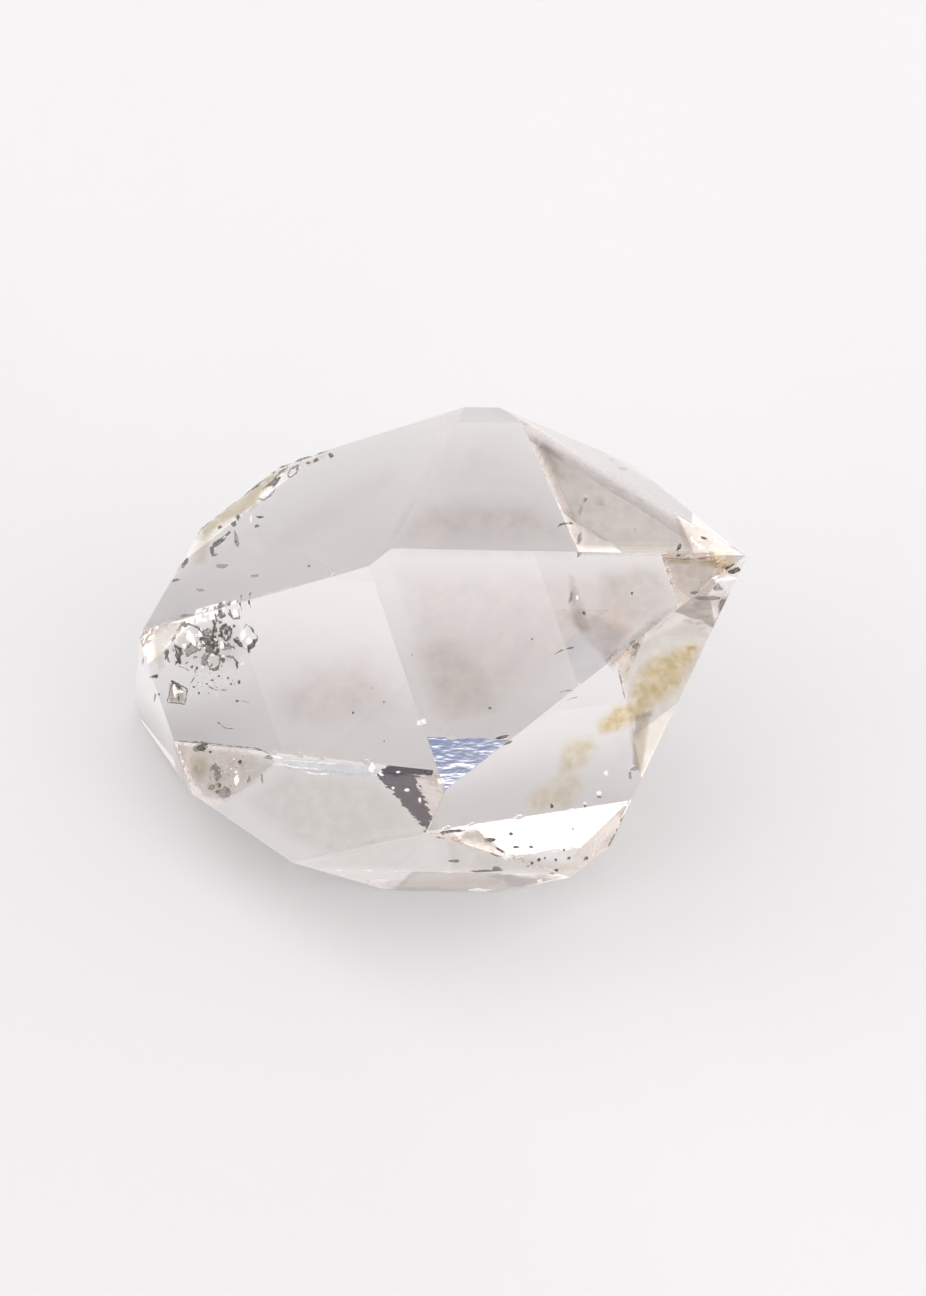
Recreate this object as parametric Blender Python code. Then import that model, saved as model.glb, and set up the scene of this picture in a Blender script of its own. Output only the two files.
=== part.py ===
"""Doubly terminated quartz crystal of the kind called a herkimer diamond.

Units are metres, +Z is up. The origin is on the resting face, straight below
the centre of mass. +X points to the right of the front view, +Y away from it.

The solid is bounded by the six prism faces m and by two rhombohedral
terminations of six faces each: p at the raised end (the pointed tip, at +X)
and q at the lowered end. Each face is a plane at its own distance from the
crystal's centre, so the faces are as unequal as on the real stone, while the
angles between them are those of quartz.
"""
import math

import bmesh
import bpy
import numpy as np
from mathutils import Matrix

MM = 0.001

# ---- quartz -----------------------------------------------------------------
AXIAL_RATIO = 1.1000            # c / a of quartz
# angle from the c axis to the normal of a rhombohedral face
RHO = math.atan(AXIAL_RATIO * 2.0 / math.sqrt(3.0))

# ---- face distances from the crystal's centre, millimetres --------------------
# keyed by the azimuth of the face normal around the c axis, in degrees
PRISM_MM = {0: 5.870, 60: 5.874, 120: 5.792, 180: 5.273, 240: 5.106, 300: 4.921}
TIP_MM = {0: 5.641, 60: 6.250, 120: 6.707, 180: 6.565, 240: 6.020, 300: 5.545}
TAIL_MM = {0: 6.551, 60: 5.200, 120: 4.907, 180: 6.293, 240: 7.439, 300: 7.440}

# ---- how it lies --------------------------------------------------------------
RESTING_AZIMUTH = 60            # the tail face it rests on
YAW_DEG = -20.45                # direction of the raised tip, from +X

# ---- chips on the edges ---------------------------------------------------------
# the two faces that meet there, place along their edge (0 to 1, from the end
# that lies further to the left), radius of the scoop and its depth, millimetres
CHIPS = (
    ("m240", "q180", 0.22, 0.60, 0.03),
    ("m240", "q180", 0.47, 0.45, 0.06),
    ("m240", "q180", 0.80, 0.50, 0.04),
    ("m240", "q240", 0.55, 0.50, 0.05),
    ("m240", "m180", 0.18, 0.60, 0.04),
    ("m240", "m300", 0.10, 0.45, 0.05),
    ("q60", "q120", 0.47, 0.25, 0.04),
    ("q60", "q120", 0.54, 0.30, 0.05),
    ("q60", "q120", 0.60, 0.22, 0.04),
    ("q60", "q120", 0.72, 0.30, 0.06),
    ("p180", "p240", 0.10, 0.45, 0.05),
    ("p0", "p60", 0.80, 0.50, 0.05),
    ("p0", "m60", 0.70, 0.45, 0.05),
)
SCOOP_DETAIL = 3                # subdivisions of the scoop's ball

# ---- look ---------------------------------------------------------------------
CRYSTAL_COLOR = (0.93, 0.90, 0.87, 1.0)
CRYSTAL_IOR = 1.544
CRYSTAL_ROUGHNESS = 0.02


def clear_scene():
    for ob in list(bpy.data.objects):
        bpy.data.objects.remove(ob, do_unlink=True)
    for block in (bpy.data.meshes, bpy.data.materials):
        for item in list(block):
            block.remove(item)


def face_planes():
    """Name, unit normal in crystal axes and distance of each face."""
    planes = []
    for az, d in PRISM_MM.items():
        a = math.radians(az)
        planes.append(("m%d" % az, np.array([math.cos(a), math.sin(a), 0.0]), d * MM))
    for sign, table, letter in ((1.0, TIP_MM, "p"), (-1.0, TAIL_MM, "q")):
        for az, d in table.items():
            a = math.radians(az)
            n = np.array([math.sin(RHO) * math.cos(a), math.sin(RHO) * math.sin(a),
                          sign * math.cos(RHO)])
            planes.append(("%s%d" % (letter, az), n, d * MM))
    return planes


def lying_rotation():
    """Crystal axes to part axes: resting face down, tip turned to YAW_DEG."""
    a = math.radians(RESTING_AZIMUTH)
    down = np.array([math.sin(RHO) * math.cos(a), math.sin(RHO) * math.sin(a),
                     -math.cos(RHO)])
    up = -down
    c = np.array([0.0, 0.0, 1.0])
    forward = c - up * float(c @ up)
    forward /= np.linalg.norm(forward)
    side = np.cross(up, forward)
    y = math.radians(YAW_DEG)
    out_f = np.array([math.cos(y), math.sin(y), 0.0])
    out_s = np.array([-math.sin(y), math.cos(y), 0.0])
    out_u = np.array([0.0, 0.0, 1.0])
    return np.outer(out_f, forward) + np.outer(out_s, side) + np.outer(out_u, up)


def solid_from_planes(planes):
    """Corner points and face loops of the convex solid inside the planes."""
    normals = np.array([p[1] for p in planes])
    dists = np.array([p[2] for p in planes])
    tol = 2e-8
    corners = []
    count = len(planes)
    for i in range(count):
        for j in range(i + 1, count):
            for k in range(j + 1, count):
                m = normals[[i, j, k]]
                if abs(np.linalg.det(m)) < 1e-6:
                    continue
                p = np.linalg.solve(m, dists[[i, j, k]])
                if np.all(normals @ p <= dists + tol):
                    if not any(np.linalg.norm(p - q) < 1e-6 for q in corners):
                        corners.append(p)
    corners = np.array(corners)
    loops = []
    for i in range(count):
        on = np.where(np.abs(corners @ normals[i] - dists[i]) < 1e-6)[0]
        if len(on) < 3:
            continue
        mid = corners[on].mean(axis=0)
        u = corners[on[0]] - mid
        u -= normals[i] * float(u @ normals[i])
        u /= np.linalg.norm(u)
        v = np.cross(normals[i], u)
        rel = corners[on] - mid
        order = np.argsort(np.arctan2(rel @ v, rel @ u))
        loops.append([int(on[o]) for o in order])
    return corners, loops


def centre_of_mass(corners, loops):
    origin = corners.mean(axis=0)
    total = 0.0
    moment = np.zeros(3)
    for loop in loops:
        a = corners[loop[0]] - origin
        for s, t in zip(loop[1:-1], loop[2:]):
            b, c = corners[s] - origin, corners[t] - origin
            v = float(a @ np.cross(b, c)) / 6.0
            total += v
            moment += v * (a + b + c) / 4.0
    return moment / total + origin


def edge_ends(corners, loops, names, first, second):
    """Ends of the edge where two faces meet, the one further left first."""
    a, b = loops[names.index(first)], loops[names.index(second)]
    shared = [i for i in a if i in b]
    ends = sorted((corners[i] for i in shared), key=lambda p: p[0])
    return ends[0], ends[-1]


def cut_chips(ob, corners, loops, names, normals):
    """Scoop a shallow hollow out of the edge at each chip."""
    for number, (first, second, place, radius, depth) in enumerate(CHIPS):
        low, high = edge_ends(corners, loops, names, first, second)
        outward = normals[names.index(first)] + normals[names.index(second)]
        outward = outward / np.linalg.norm(outward)
        centre = low + (high - low) * place + outward * (radius - depth) * MM
        along = (high - low) / np.linalg.norm(high - low)
        across = np.cross(outward, along)
        turn = math.radians(37.0 * number)
        x_axis = along * math.cos(turn) + across * math.sin(turn)
        y_axis = np.cross(outward, x_axis)
        frame = Matrix((
            (x_axis[0], y_axis[0], outward[0], centre[0]),
            (x_axis[1], y_axis[1], outward[1], centre[1]),
            (x_axis[2], y_axis[2], outward[2], centre[2]),
            (0.0, 0.0, 0.0, 1.0),
        ))
        ball = bpy.data.meshes.new("scoop")
        bm = bmesh.new()
        bmesh.ops.create_icosphere(bm, subdivisions=SCOOP_DETAIL, radius=radius * MM)
        bmesh.ops.transform(bm, matrix=frame, verts=bm.verts[:])
        bm.to_mesh(ball)
        bm.free()
        cutter = bpy.data.objects.new("scoop", ball)
        bpy.context.scene.collection.objects.link(cutter)
        mod = ob.modifiers.new("chip", "BOOLEAN")
        mod.operation = "DIFFERENCE"
        mod.solver = "EXACT"
        mod.object = cutter
        bpy.context.view_layer.update()
        graph = bpy.context.evaluated_depsgraph_get()
        result = bpy.data.meshes.new_from_object(ob.evaluated_get(graph))
        ob.modifiers.remove(mod)
        old = ob.data
        ob.data = result
        bpy.data.meshes.remove(old)
        bpy.data.objects.remove(cutter, do_unlink=True)
        bpy.data.meshes.remove(ball)
    ob.data.name = ob.name


def crystal_material():
    mat = bpy.data.materials.new("clear_quartz")
    mat.use_nodes = True
    bsdf = mat.node_tree.nodes["Principled BSDF"]
    bsdf.inputs["Base Color"].default_value = CRYSTAL_COLOR
    bsdf.inputs["Roughness"].default_value = CRYSTAL_ROUGHNESS
    bsdf.inputs["IOR"].default_value = CRYSTAL_IOR
    bsdf.inputs["Transmission Weight"].default_value = 1.0
    mat.diffuse_color = CRYSTAL_COLOR
    return mat


def build():
    clear_scene()
    rot = lying_rotation()
    planes = face_planes()
    names = [p[0] for p in planes]
    normals = np.array([rot @ p[1] for p in planes])
    corners, loops = solid_from_planes(planes)
    corners = corners @ rot.T
    com = centre_of_mass(corners, loops)
    shift = np.array([com[0], com[1], corners[:, 2].min()])
    corners = corners - shift

    mesh = bpy.data.meshes.new("quartz_crystal")
    mesh.from_pydata([tuple(map(float, p)) for p in corners], [], loops)
    bm = bmesh.new()
    bm.from_mesh(mesh)
    bmesh.ops.recalc_face_normals(bm, faces=bm.faces[:])
    bm.to_mesh(mesh)
    bm.free()
    mesh.update()
    ob = bpy.data.objects.new("quartz_crystal", mesh)
    mesh.materials.append(crystal_material())
    bpy.context.scene.collection.objects.link(ob)
    cut_chips(ob, corners, loops, names, normals)
    return ob


build()
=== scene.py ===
"""Looks of the clear quartz crystal: its detailed surface, what is sealed in it,
the floor, the light and the camera. Lengths in the script are millimetres and
are turned into metres where an object is made."""
import math
import random

import bmesh
import bpy
import numpy as np
from mathutils import Matrix, Vector, noise


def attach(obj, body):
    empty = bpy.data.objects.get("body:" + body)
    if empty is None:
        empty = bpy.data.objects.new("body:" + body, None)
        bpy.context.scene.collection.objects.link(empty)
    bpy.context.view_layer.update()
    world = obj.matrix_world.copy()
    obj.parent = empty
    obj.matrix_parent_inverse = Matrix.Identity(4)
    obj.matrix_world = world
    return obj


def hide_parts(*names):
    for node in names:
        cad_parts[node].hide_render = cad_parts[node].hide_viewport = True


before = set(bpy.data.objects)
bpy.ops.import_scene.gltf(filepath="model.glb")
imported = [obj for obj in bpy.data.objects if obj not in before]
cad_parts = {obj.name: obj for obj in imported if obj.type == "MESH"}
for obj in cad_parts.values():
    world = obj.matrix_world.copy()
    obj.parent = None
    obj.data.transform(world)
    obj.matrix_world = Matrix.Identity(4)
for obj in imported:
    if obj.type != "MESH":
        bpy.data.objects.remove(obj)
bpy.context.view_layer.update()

MM = 0.001

# ---------------------------------------------------------------------------
# camera: centre of the view, its axes and distance
# ---------------------------------------------------------------------------
FRAME_W, FRAME_H = 926.0, 1296.0
CAM_POS = np.array([-0.5066, -69.3401, 84.5673])
CAM_X = np.array([0.999913, 0.0, 0.0132247])
CAM_Y = np.array([-0.00870386, 0.75288751, 0.65809167])
CAM_Z = np.array([-0.00995675, -0.65814923, 0.75282167])
FOCAL = 3939.0                     # in frame pixels

# ---------------------------------------------------------------------------
# the crystal's faces, as in the CAD part
# ---------------------------------------------------------------------------
IOR = 1.544
RHO = math.atan(1.1000 * 2.0 / math.sqrt(3.0))
PRISM_MM = {0: 5.870, 60: 5.874, 120: 5.792, 180: 5.273, 240: 5.106, 300: 4.921}
TIP_MM = {0: 5.641, 60: 6.250, 120: 6.707, 180: 6.565, 240: 6.020, 300: 5.545}
TAIL_MM = {0: 6.551, 60: 5.200, 120: 4.907, 180: 6.293, 240: 7.439, 300: 7.440}
RESTING_AZIMUTH = 60
YAW_DEG = -20.45
CHIPS = (
    ("m240", "q180", 0.22, 0.60, 0.03),
    ("m240", "q180", 0.47, 0.45, 0.06),
    ("m240", "q180", 0.80, 0.50, 0.04),
    ("m240", "q240", 0.55, 0.50, 0.05),
    ("m240", "m180", 0.18, 0.60, 0.04),
    ("m240", "m300", 0.10, 0.45, 0.05),
    ("q60", "q120", 0.47, 0.25, 0.04),
    ("q60", "q120", 0.54, 0.30, 0.05),
    ("q60", "q120", 0.60, 0.22, 0.04),
    ("q60", "q120", 0.72, 0.30, 0.06),
    ("p180", "p240", 0.10, 0.45, 0.05),
    ("p0", "p60", 0.80, 0.50, 0.05),
    ("p0", "m60", 0.70, 0.45, 0.05),
)
EDGE_ROUND = 0.022                 # width of the wear along the edges

# height of the growth lines on each face, micrometres, and of its etch pits
LINES_UM = {"m180": 0.8, "m120": 0.25, "m60": 1.0, "m0": 0.15, "m240": 0.12,
            "m300": 0.10, "q60": 1.6, "q120": 0.15, "p0": 0.08, "q0": 0.8}
PITS_UM = {"m180": 1.0, "q240": 3.0, "q180": 5.0, "q300": 3.0}


def face_planes():
    planes = []
    for az, d in PRISM_MM.items():
        a = math.radians(az)
        planes.append(("m%d" % az, np.array([math.cos(a), math.sin(a), 0.0]), d))
    for sign, table, letter in ((1.0, TIP_MM, "p"), (-1.0, TAIL_MM, "q")):
        for az, d in table.items():
            a = math.radians(az)
            n = np.array([math.sin(RHO) * math.cos(a), math.sin(RHO) * math.sin(a),
                          sign * math.cos(RHO)])
            planes.append(("%s%d" % (letter, az), n, d))
    return planes


def lying_rotation():
    a = math.radians(RESTING_AZIMUTH)
    down = np.array([math.sin(RHO) * math.cos(a), math.sin(RHO) * math.sin(a),
                     -math.cos(RHO)])
    up = -down
    c = np.array([0.0, 0.0, 1.0])
    forward = c - up * float(c @ up)
    forward /= np.linalg.norm(forward)
    side = np.cross(up, forward)
    y = math.radians(YAW_DEG)
    out_f = np.array([math.cos(y), math.sin(y), 0.0])
    out_s = np.array([-math.sin(y), math.cos(y), 0.0])
    out_u = np.array([0.0, 0.0, 1.0])
    return np.outer(out_f, forward) + np.outer(out_s, side) + np.outer(out_u, up)


def solid_from_planes(normals, dists):
    corners = []
    count = len(normals)
    for i in range(count):
        for j in range(i + 1, count):
            for k in range(j + 1, count):
                m = normals[[i, j, k]]
                if abs(np.linalg.det(m)) < 1e-6:
                    continue
                p = np.linalg.solve(m, dists[[i, j, k]])
                if np.all(normals @ p <= dists + 2e-5):
                    if not any(np.linalg.norm(p - q) < 1e-3 for q in corners):
                        corners.append(p)
    corners = np.array(corners)
    loops = []
    for i in range(count):
        on = np.where(np.abs(corners @ normals[i] - dists[i]) < 1e-3)[0]
        if len(on) < 3:
            continue
        mid = corners[on].mean(axis=0)
        u = corners[on[0]] - mid
        u -= normals[i] * float(u @ normals[i])
        u /= np.linalg.norm(u)
        v = np.cross(normals[i], u)
        rel = corners[on] - mid
        order = np.argsort(np.arctan2(rel @ v, rel @ u))
        loops.append([int(on[o]) for o in order])
    return corners, loops


def centre_of_mass(corners, loops):
    origin = corners.mean(axis=0)
    total, moment = 0.0, np.zeros(3)
    for loop in loops:
        a = corners[loop[0]] - origin
        for s, t in zip(loop[1:-1], loop[2:]):
            b, c = corners[s] - origin, corners[t] - origin
            v = float(a @ np.cross(b, c)) / 6.0
            total += v
            moment += v * (a + b + c) / 4.0
    return moment / total + origin


ROT = lying_rotation()
PLANES = face_planes()
NAMES = [p[0] for p in PLANES]
NORMALS = np.array([ROT @ p[1] for p in PLANES])
DISTS = np.array([p[2] for p in PLANES])
CORNERS, LOOPS = solid_from_planes(np.array([p[1] for p in PLANES]), DISTS)
CORNERS = CORNERS @ ROT.T
COM = centre_of_mass(CORNERS, LOOPS)
SHIFT = np.array([COM[0], COM[1], CORNERS[:, 2].min()])
CORNERS = CORNERS - SHIFT
DISTS_W = DISTS - NORMALS @ SHIFT
C_AXIS = ROT @ np.array([0.0, 0.0, 1.0])
CENTRE = -SHIFT                     # crystal centre, part axes


def edge_ends(first, second):
    a, b = LOOPS[NAMES.index(first)], LOOPS[NAMES.index(second)]
    ends = sorted((CORNERS[i] for i in a if i in b), key=lambda p: p[0])
    return ends[0], ends[-1]


# ---------------------------------------------------------------------------
# places inside the crystal, found along a refracted line of sight
# ---------------------------------------------------------------------------
def sight_line(u, v):
    """Point on the surface met by the line of sight through frame place (u, v),
    the face met there, and the direction of the line inside the crystal."""
    d = CAM_X * (u - FRAME_W / 2) - CAM_Y * (v - FRAME_H / 2) - CAM_Z * FOCAL
    d /= np.linalg.norm(d)
    t_in, face = -1e9, None
    for i in range(len(NORMALS)):
        dn = float(NORMALS[i] @ d)
        if dn < -1e-9:
            t = (DISTS_W[i] - float(NORMALS[i] @ CAM_POS)) / dn
            if t > t_in:
                t_in, face = t, i
    p = CAM_POS + d * t_in
    n = NORMALS[face]
    cosi = -float(n @ d)
    eta = 1.0 / IOR
    k = 1.0 - eta * eta * (1.0 - cosi * cosi)
    r = eta * d + (eta * cosi - math.sqrt(k)) * n
    return p, face, r / np.linalg.norm(r)


def run_inside(p, r):
    """Length of the line inside, and the face where it ends."""
    best, out = 1e9, None
    for i in range(len(NORMALS)):
        dn = float(NORMALS[i] @ r)
        if dn > 1e-9:
            t = (DISTS_W[i] - float(NORMALS[i] @ p)) / dn
            if t < best:
                best, out = t, i
    return best, out


def inside(u, v, depth=None, part=None, path=0):
    """Point inside the crystal that shows at frame place (u, v): depth is in
    millimetres from the surface, part is a fraction of the way through, and
    path is how many times the line is turned back by a face before."""
    p, face, r = sight_line(u, v)
    for step in range(path):
        length, out = run_inside(p + r * 1e-4, r)
        p = p + r * (length + 1e-4)
        n = NORMALS[out]
        r = r - 2.0 * n * float(n @ r)
        p = p - n * 1e-3
    length, out = run_inside(p, r)
    # near the outline the crystal is thin: a mark stays inside it
    if depth is None:
        t = length * part
    else:
        t = min(depth, max(0.94 * length, min(depth, 0.05)))
    q = p + r * t
    for step in range(4):
        over = NORMALS @ q - DISTS_W
        k = int(np.argmax(over))
        if over[k] <= -0.01:
            break
        q = q - NORMALS[k] * (float(over[k]) + 0.012)
    return q


# ---------------------------------------------------------------------------
# node helpers
# ---------------------------------------------------------------------------
def new_material(name):
    mat = bpy.data.materials.new(name)
    mat.use_nodes = True
    nt = mat.node_tree
    for n in list(nt.nodes):
        nt.nodes.remove(n)
    return mat, nt


def node(nt, kind, **values):
    n = nt.nodes.new(kind)
    for key, val in values.items():
        if key.startswith("in_"):
            n.inputs[key[3:].replace("_", " ")].default_value = val
        else:
            setattr(n, key, val)
    return n


def make_object(name, bm, mat, smooth=False):
    for vert in bm.verts:
        vert.co *= MM
    mesh = bpy.data.meshes.new(name)
    bm.to_mesh(mesh)
    bm.free()
    for poly in mesh.polygons:
        poly.use_smooth = smooth
    mesh.materials.append(mat)
    ob = bpy.data.objects.new(name, mesh)
    bpy.context.scene.collection.objects.link(ob)
    return ob


# ---------------------------------------------------------------------------
# the crystal
# ---------------------------------------------------------------------------
def rough_scoop(number, first, second, place, radius, depth):
    low, high = edge_ends(first, second)
    outward = NORMALS[NAMES.index(first)] + NORMALS[NAMES.index(second)]
    outward = outward / np.linalg.norm(outward)
    centre = low + (high - low) * place + outward * (radius - depth)
    along = (high - low) / np.linalg.norm(high - low)
    across = np.cross(outward, along)
    turn = math.radians(37.0 * number)
    x_axis = along * math.cos(turn) + across * math.sin(turn)
    y_axis = np.cross(outward, x_axis)
    bm = bmesh.new()
    bmesh.ops.create_icosphere(bm, subdivisions=5, radius=radius)
    for vert in bm.verts:
        q = vert.co.copy()
        # shell-shaped ripples of a conchoidal break
        s = noise.noise(q * 3.1 + Vector((number * 7.0, 0, 0)))
        w = math.sin(q.length * 0 + (q.x + q.y) * 26.0 + 4.0 * s) * 0.006
        vert.co = q * (1.0 + 0.018 * s + w * 0.5)
    frame_m = Matrix((
        (x_axis[0], y_axis[0], outward[0], centre[0]),
        (x_axis[1], y_axis[1], outward[1], centre[1]),
        (x_axis[2], y_axis[2], outward[2], centre[2]),
        (0.0, 0.0, 0.0, 1.0),
    ))
    bmesh.ops.transform(bm, matrix=frame_m, verts=bm.verts[:])
    mesh = bpy.data.meshes.new("scoop")
    bm.to_mesh(mesh)
    bm.free()
    return mesh


def build_crystal(mat):
    bm = bmesh.new()
    verts = [bm.verts.new(tuple(map(float, p))) for p in CORNERS]
    for loop in LOOPS:
        bm.faces.new([verts[i] for i in loop])
    bmesh.ops.recalc_face_normals(bm, faces=bm.faces[:])
    bmesh.ops.bevel(bm, geom=bm.edges[:], offset=EDGE_ROUND, offset_type="OFFSET",
                    segments=2, profile=0.6, affect="EDGES", clamp_overlap=True)
    mesh = bpy.data.meshes.new("crystal")
    bm.to_mesh(mesh)
    bm.free()
    ob = bpy.data.objects.new("crystal", mesh)
    bpy.context.scene.collection.objects.link(ob)
    for number, chip in enumerate(CHIPS):
        ball = rough_scoop(number, *chip)
        cutter = bpy.data.objects.new("scoop", ball)
        bpy.context.scene.collection.objects.link(cutter)
        mod = ob.modifiers.new("chip", "BOOLEAN")
        mod.operation = "DIFFERENCE"
        mod.solver = "EXACT"
        mod.object = cutter
        bpy.context.view_layer.update()
        graph = bpy.context.evaluated_depsgraph_get()
        result = bpy.data.meshes.new_from_object(ob.evaluated_get(graph))
        ob.modifiers.remove(mod)
        old = ob.data
        ob.data = result
        bpy.data.meshes.remove(old)
        bpy.data.objects.remove(cutter, do_unlink=True)
        bpy.data.meshes.remove(ball)
    mesh = ob.data
    co = np.empty(len(mesh.vertices) * 3)
    mesh.vertices.foreach_get("co", co)
    co = co.reshape(-1, 3)
    own = (co - CENTRE) @ ROT          # crystal axes, millimetres
    attr = mesh.attributes.new("own_axes", "FLOAT_VECTOR", "POINT")
    attr.data.foreach_set("vector", own.astype(np.float32).ravel())
    lines = mesh.attributes.new("lines", "FLOAT", "FACE")
    pits = mesh.attributes.new("pits", "FLOAT", "FACE")
    grain = mesh.attributes.new("grain", "FLOAT_VECTOR", "CORNER")
    for poly in mesh.polygons:
        n = np.array(poly.normal)
        k = int(np.argmax(NORMALS @ n))
        flat = float(NORMALS[k] @ n) > 0.99995
        lines.data[poly.index].value = LINES_UM.get(NAMES[k], 0.06) if flat else 0.5
        pits.data[poly.index].value = PITS_UM.get(NAMES[k], 0.0) if flat else 0.0
        poly.use_smooth = False
        # along the growth lines, and across them within the face
        own_n = PLANES[k][1]
        if NAMES[k] == "q60":
            along = np.array([0.0, 0.7071, 0.7071])
        else:
            along = np.cross(np.array([0.0, 0.0, 1.0]), own_n)
        along = along - own_n * float(along @ own_n)
        along /= np.linalg.norm(along)
        across = np.cross(own_n, along)
        for li in poly.loop_indices:
            q = own[mesh.loops[li].vertex_index]
            grain.data[li].vector = (float(q @ along), float(q @ across), float(k) * 3.7)
    co *= MM
    mesh.vertices.foreach_set("co", co.astype(np.float32).ravel())
    mesh.materials.clear()
    mesh.materials.append(mat)
    mesh.name = "crystal"
    mesh.update()
    return ob


def crystal_material():
    mat, nt = new_material("clear_quartz_detail")
    out = node(nt, "ShaderNodeOutputMaterial")
    bsdf = node(nt, "ShaderNodeBsdfPrincipled")
    bsdf.inputs["Base Color"].default_value = (1.0, 1.0, 1.0, 1.0)
    bsdf.inputs["Transmission Weight"].default_value = 1.0
    bsdf.inputs["IOR"].default_value = IOR
    vol = node(nt, "ShaderNodeVolumeAbsorption")
    vol.inputs["Color"].default_value = (0.960, 0.915, 0.888, 1.0)
    vol.inputs["Density"].default_value = 50.0
    nt.links.new(vol.outputs[0], out.inputs["Volume"])
    nt.links.new(bsdf.outputs[0], out.inputs["Surface"])

    own = node(nt, "ShaderNodeAttribute", attribute_name="own_axes")
    grain = node(nt, "ShaderNodeAttribute", attribute_name="grain")
    lines_um = node(nt, "ShaderNodeAttribute", attribute_name="lines")
    pits_um = node(nt, "ShaderNodeAttribute", attribute_name="pits")

    def product(a, b):
        m = node(nt, "ShaderNodeMath", operation="MULTIPLY")
        for i, x in enumerate((a, b)):
            if isinstance(x, float):
                m.inputs[i].default_value = x
            else:
                nt.links.new(x, m.inputs[i])
        return m.outputs[0]

    # growth lines of each face
    squeeze = node(nt, "ShaderNodeMapping")
    squeeze.inputs["Scale"].default_value = (2.6, 5.0, 1.0)
    nt.links.new(grain.outputs["Vector"], squeeze.inputs["Vector"])
    lines = node(nt, "ShaderNodeTexNoise")
    lines.inputs["Scale"].default_value = 1.0
    lines.inputs["Detail"].default_value = 2.0
    lines.inputs["Roughness"].default_value = 0.45
    nt.links.new(squeeze.outputs[0], lines.inputs["Vector"])
    h1 = product(lines.outputs["Fac"], lines_um.outputs["Fac"])
    # small etched hollows, finer than the lines
    dents = node(nt, "ShaderNodeTexNoise")
    dents.inputs["Scale"].default_value = 5.0
    dents.inputs["Detail"].default_value = 0.0
    nt.links.new(own.outputs["Vector"], dents.inputs["Vector"])
    h2 = product(dents.outputs["Fac"], pits_um.outputs["Fac"])
    # very faint waviness of the growth surface everywhere
    wave = node(nt, "ShaderNodeTexNoise")
    wave.inputs["Scale"].default_value = 0.5
    wave.inputs["Detail"].default_value = 1.0
    nt.links.new(own.outputs["Vector"], wave.inputs["Vector"])
    h3 = product(wave.outputs["Fac"], 1.4)
    total = node(nt, "ShaderNodeMath", operation="ADD")
    nt.links.new(h1, total.inputs[0])
    nt.links.new(h2, total.inputs[1])
    total2 = node(nt, "ShaderNodeMath", operation="ADD")
    nt.links.new(total.outputs[0], total2.inputs[0])
    nt.links.new(h3, total2.inputs[1])
    bump = node(nt, "ShaderNodeBump")
    bump.inputs["Strength"].default_value = 1.0
    bump.inputs["Distance"].default_value = 0.000001
    nt.links.new(total2.outputs[0], bump.inputs["Height"])
    nt.links.new(bump.outputs[0], bsdf.inputs["Normal"])
    # roughness: a little wear, varying with the faint waviness
    rough = node(nt, "ShaderNodeMapRange")
    rough.inputs["From Min"].default_value = 0.35
    rough.inputs["From Max"].default_value = 0.75
    rough.inputs["To Min"].default_value = 0.0
    rough.inputs["To Max"].default_value = 0.012
    nt.links.new(wave.outputs["Fac"], rough.inputs["Value"])
    nt.links.new(rough.outputs[0], bsdf.inputs["Roughness"])
    return mat


# ---------------------------------------------------------------------------
# what is sealed in the crystal, with painted glints and films of painted shade
# and reflection among the marks. Each mark is drawn at its place in the frame
# (across, down), and lies at its depth below the face it is seen through.
# ---------------------------------------------------------------------------
def speck(bm, u, v, rx, ry, angle=0.0, depth=0.8, thick=0.05, seed=0, rough=0.35,
          detail=2, path=0):
    """A small lump; rx, ry are half sizes in the frame, thick in millimetres."""
    ball = bmesh.new()
    bmesh.ops.create_icosphere(ball, subdivisions=detail, radius=1.0)
    a = math.radians(angle)
    made = {}
    for vert in ball.verts:
        q = vert.co
        k = 1.0 + rough * noise.noise(q * 1.3 + Vector((seed * 3.17, seed * 1.7, 0.0)))
        x, y, z = q.x * k * rx, q.y * k * ry, q.z * k
        du = x * math.cos(a) - y * math.sin(a)
        dv = -(x * math.sin(a) + y * math.cos(a))
        p = inside(u + du, v + dv, depth=depth + z * thick, path=path)
        made[vert.index] = bm.verts.new(tuple(map(float, p)))
    for face in ball.faces:
        bm.faces.new([made[w.index] for w in face.verts])
    ball.free()


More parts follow.
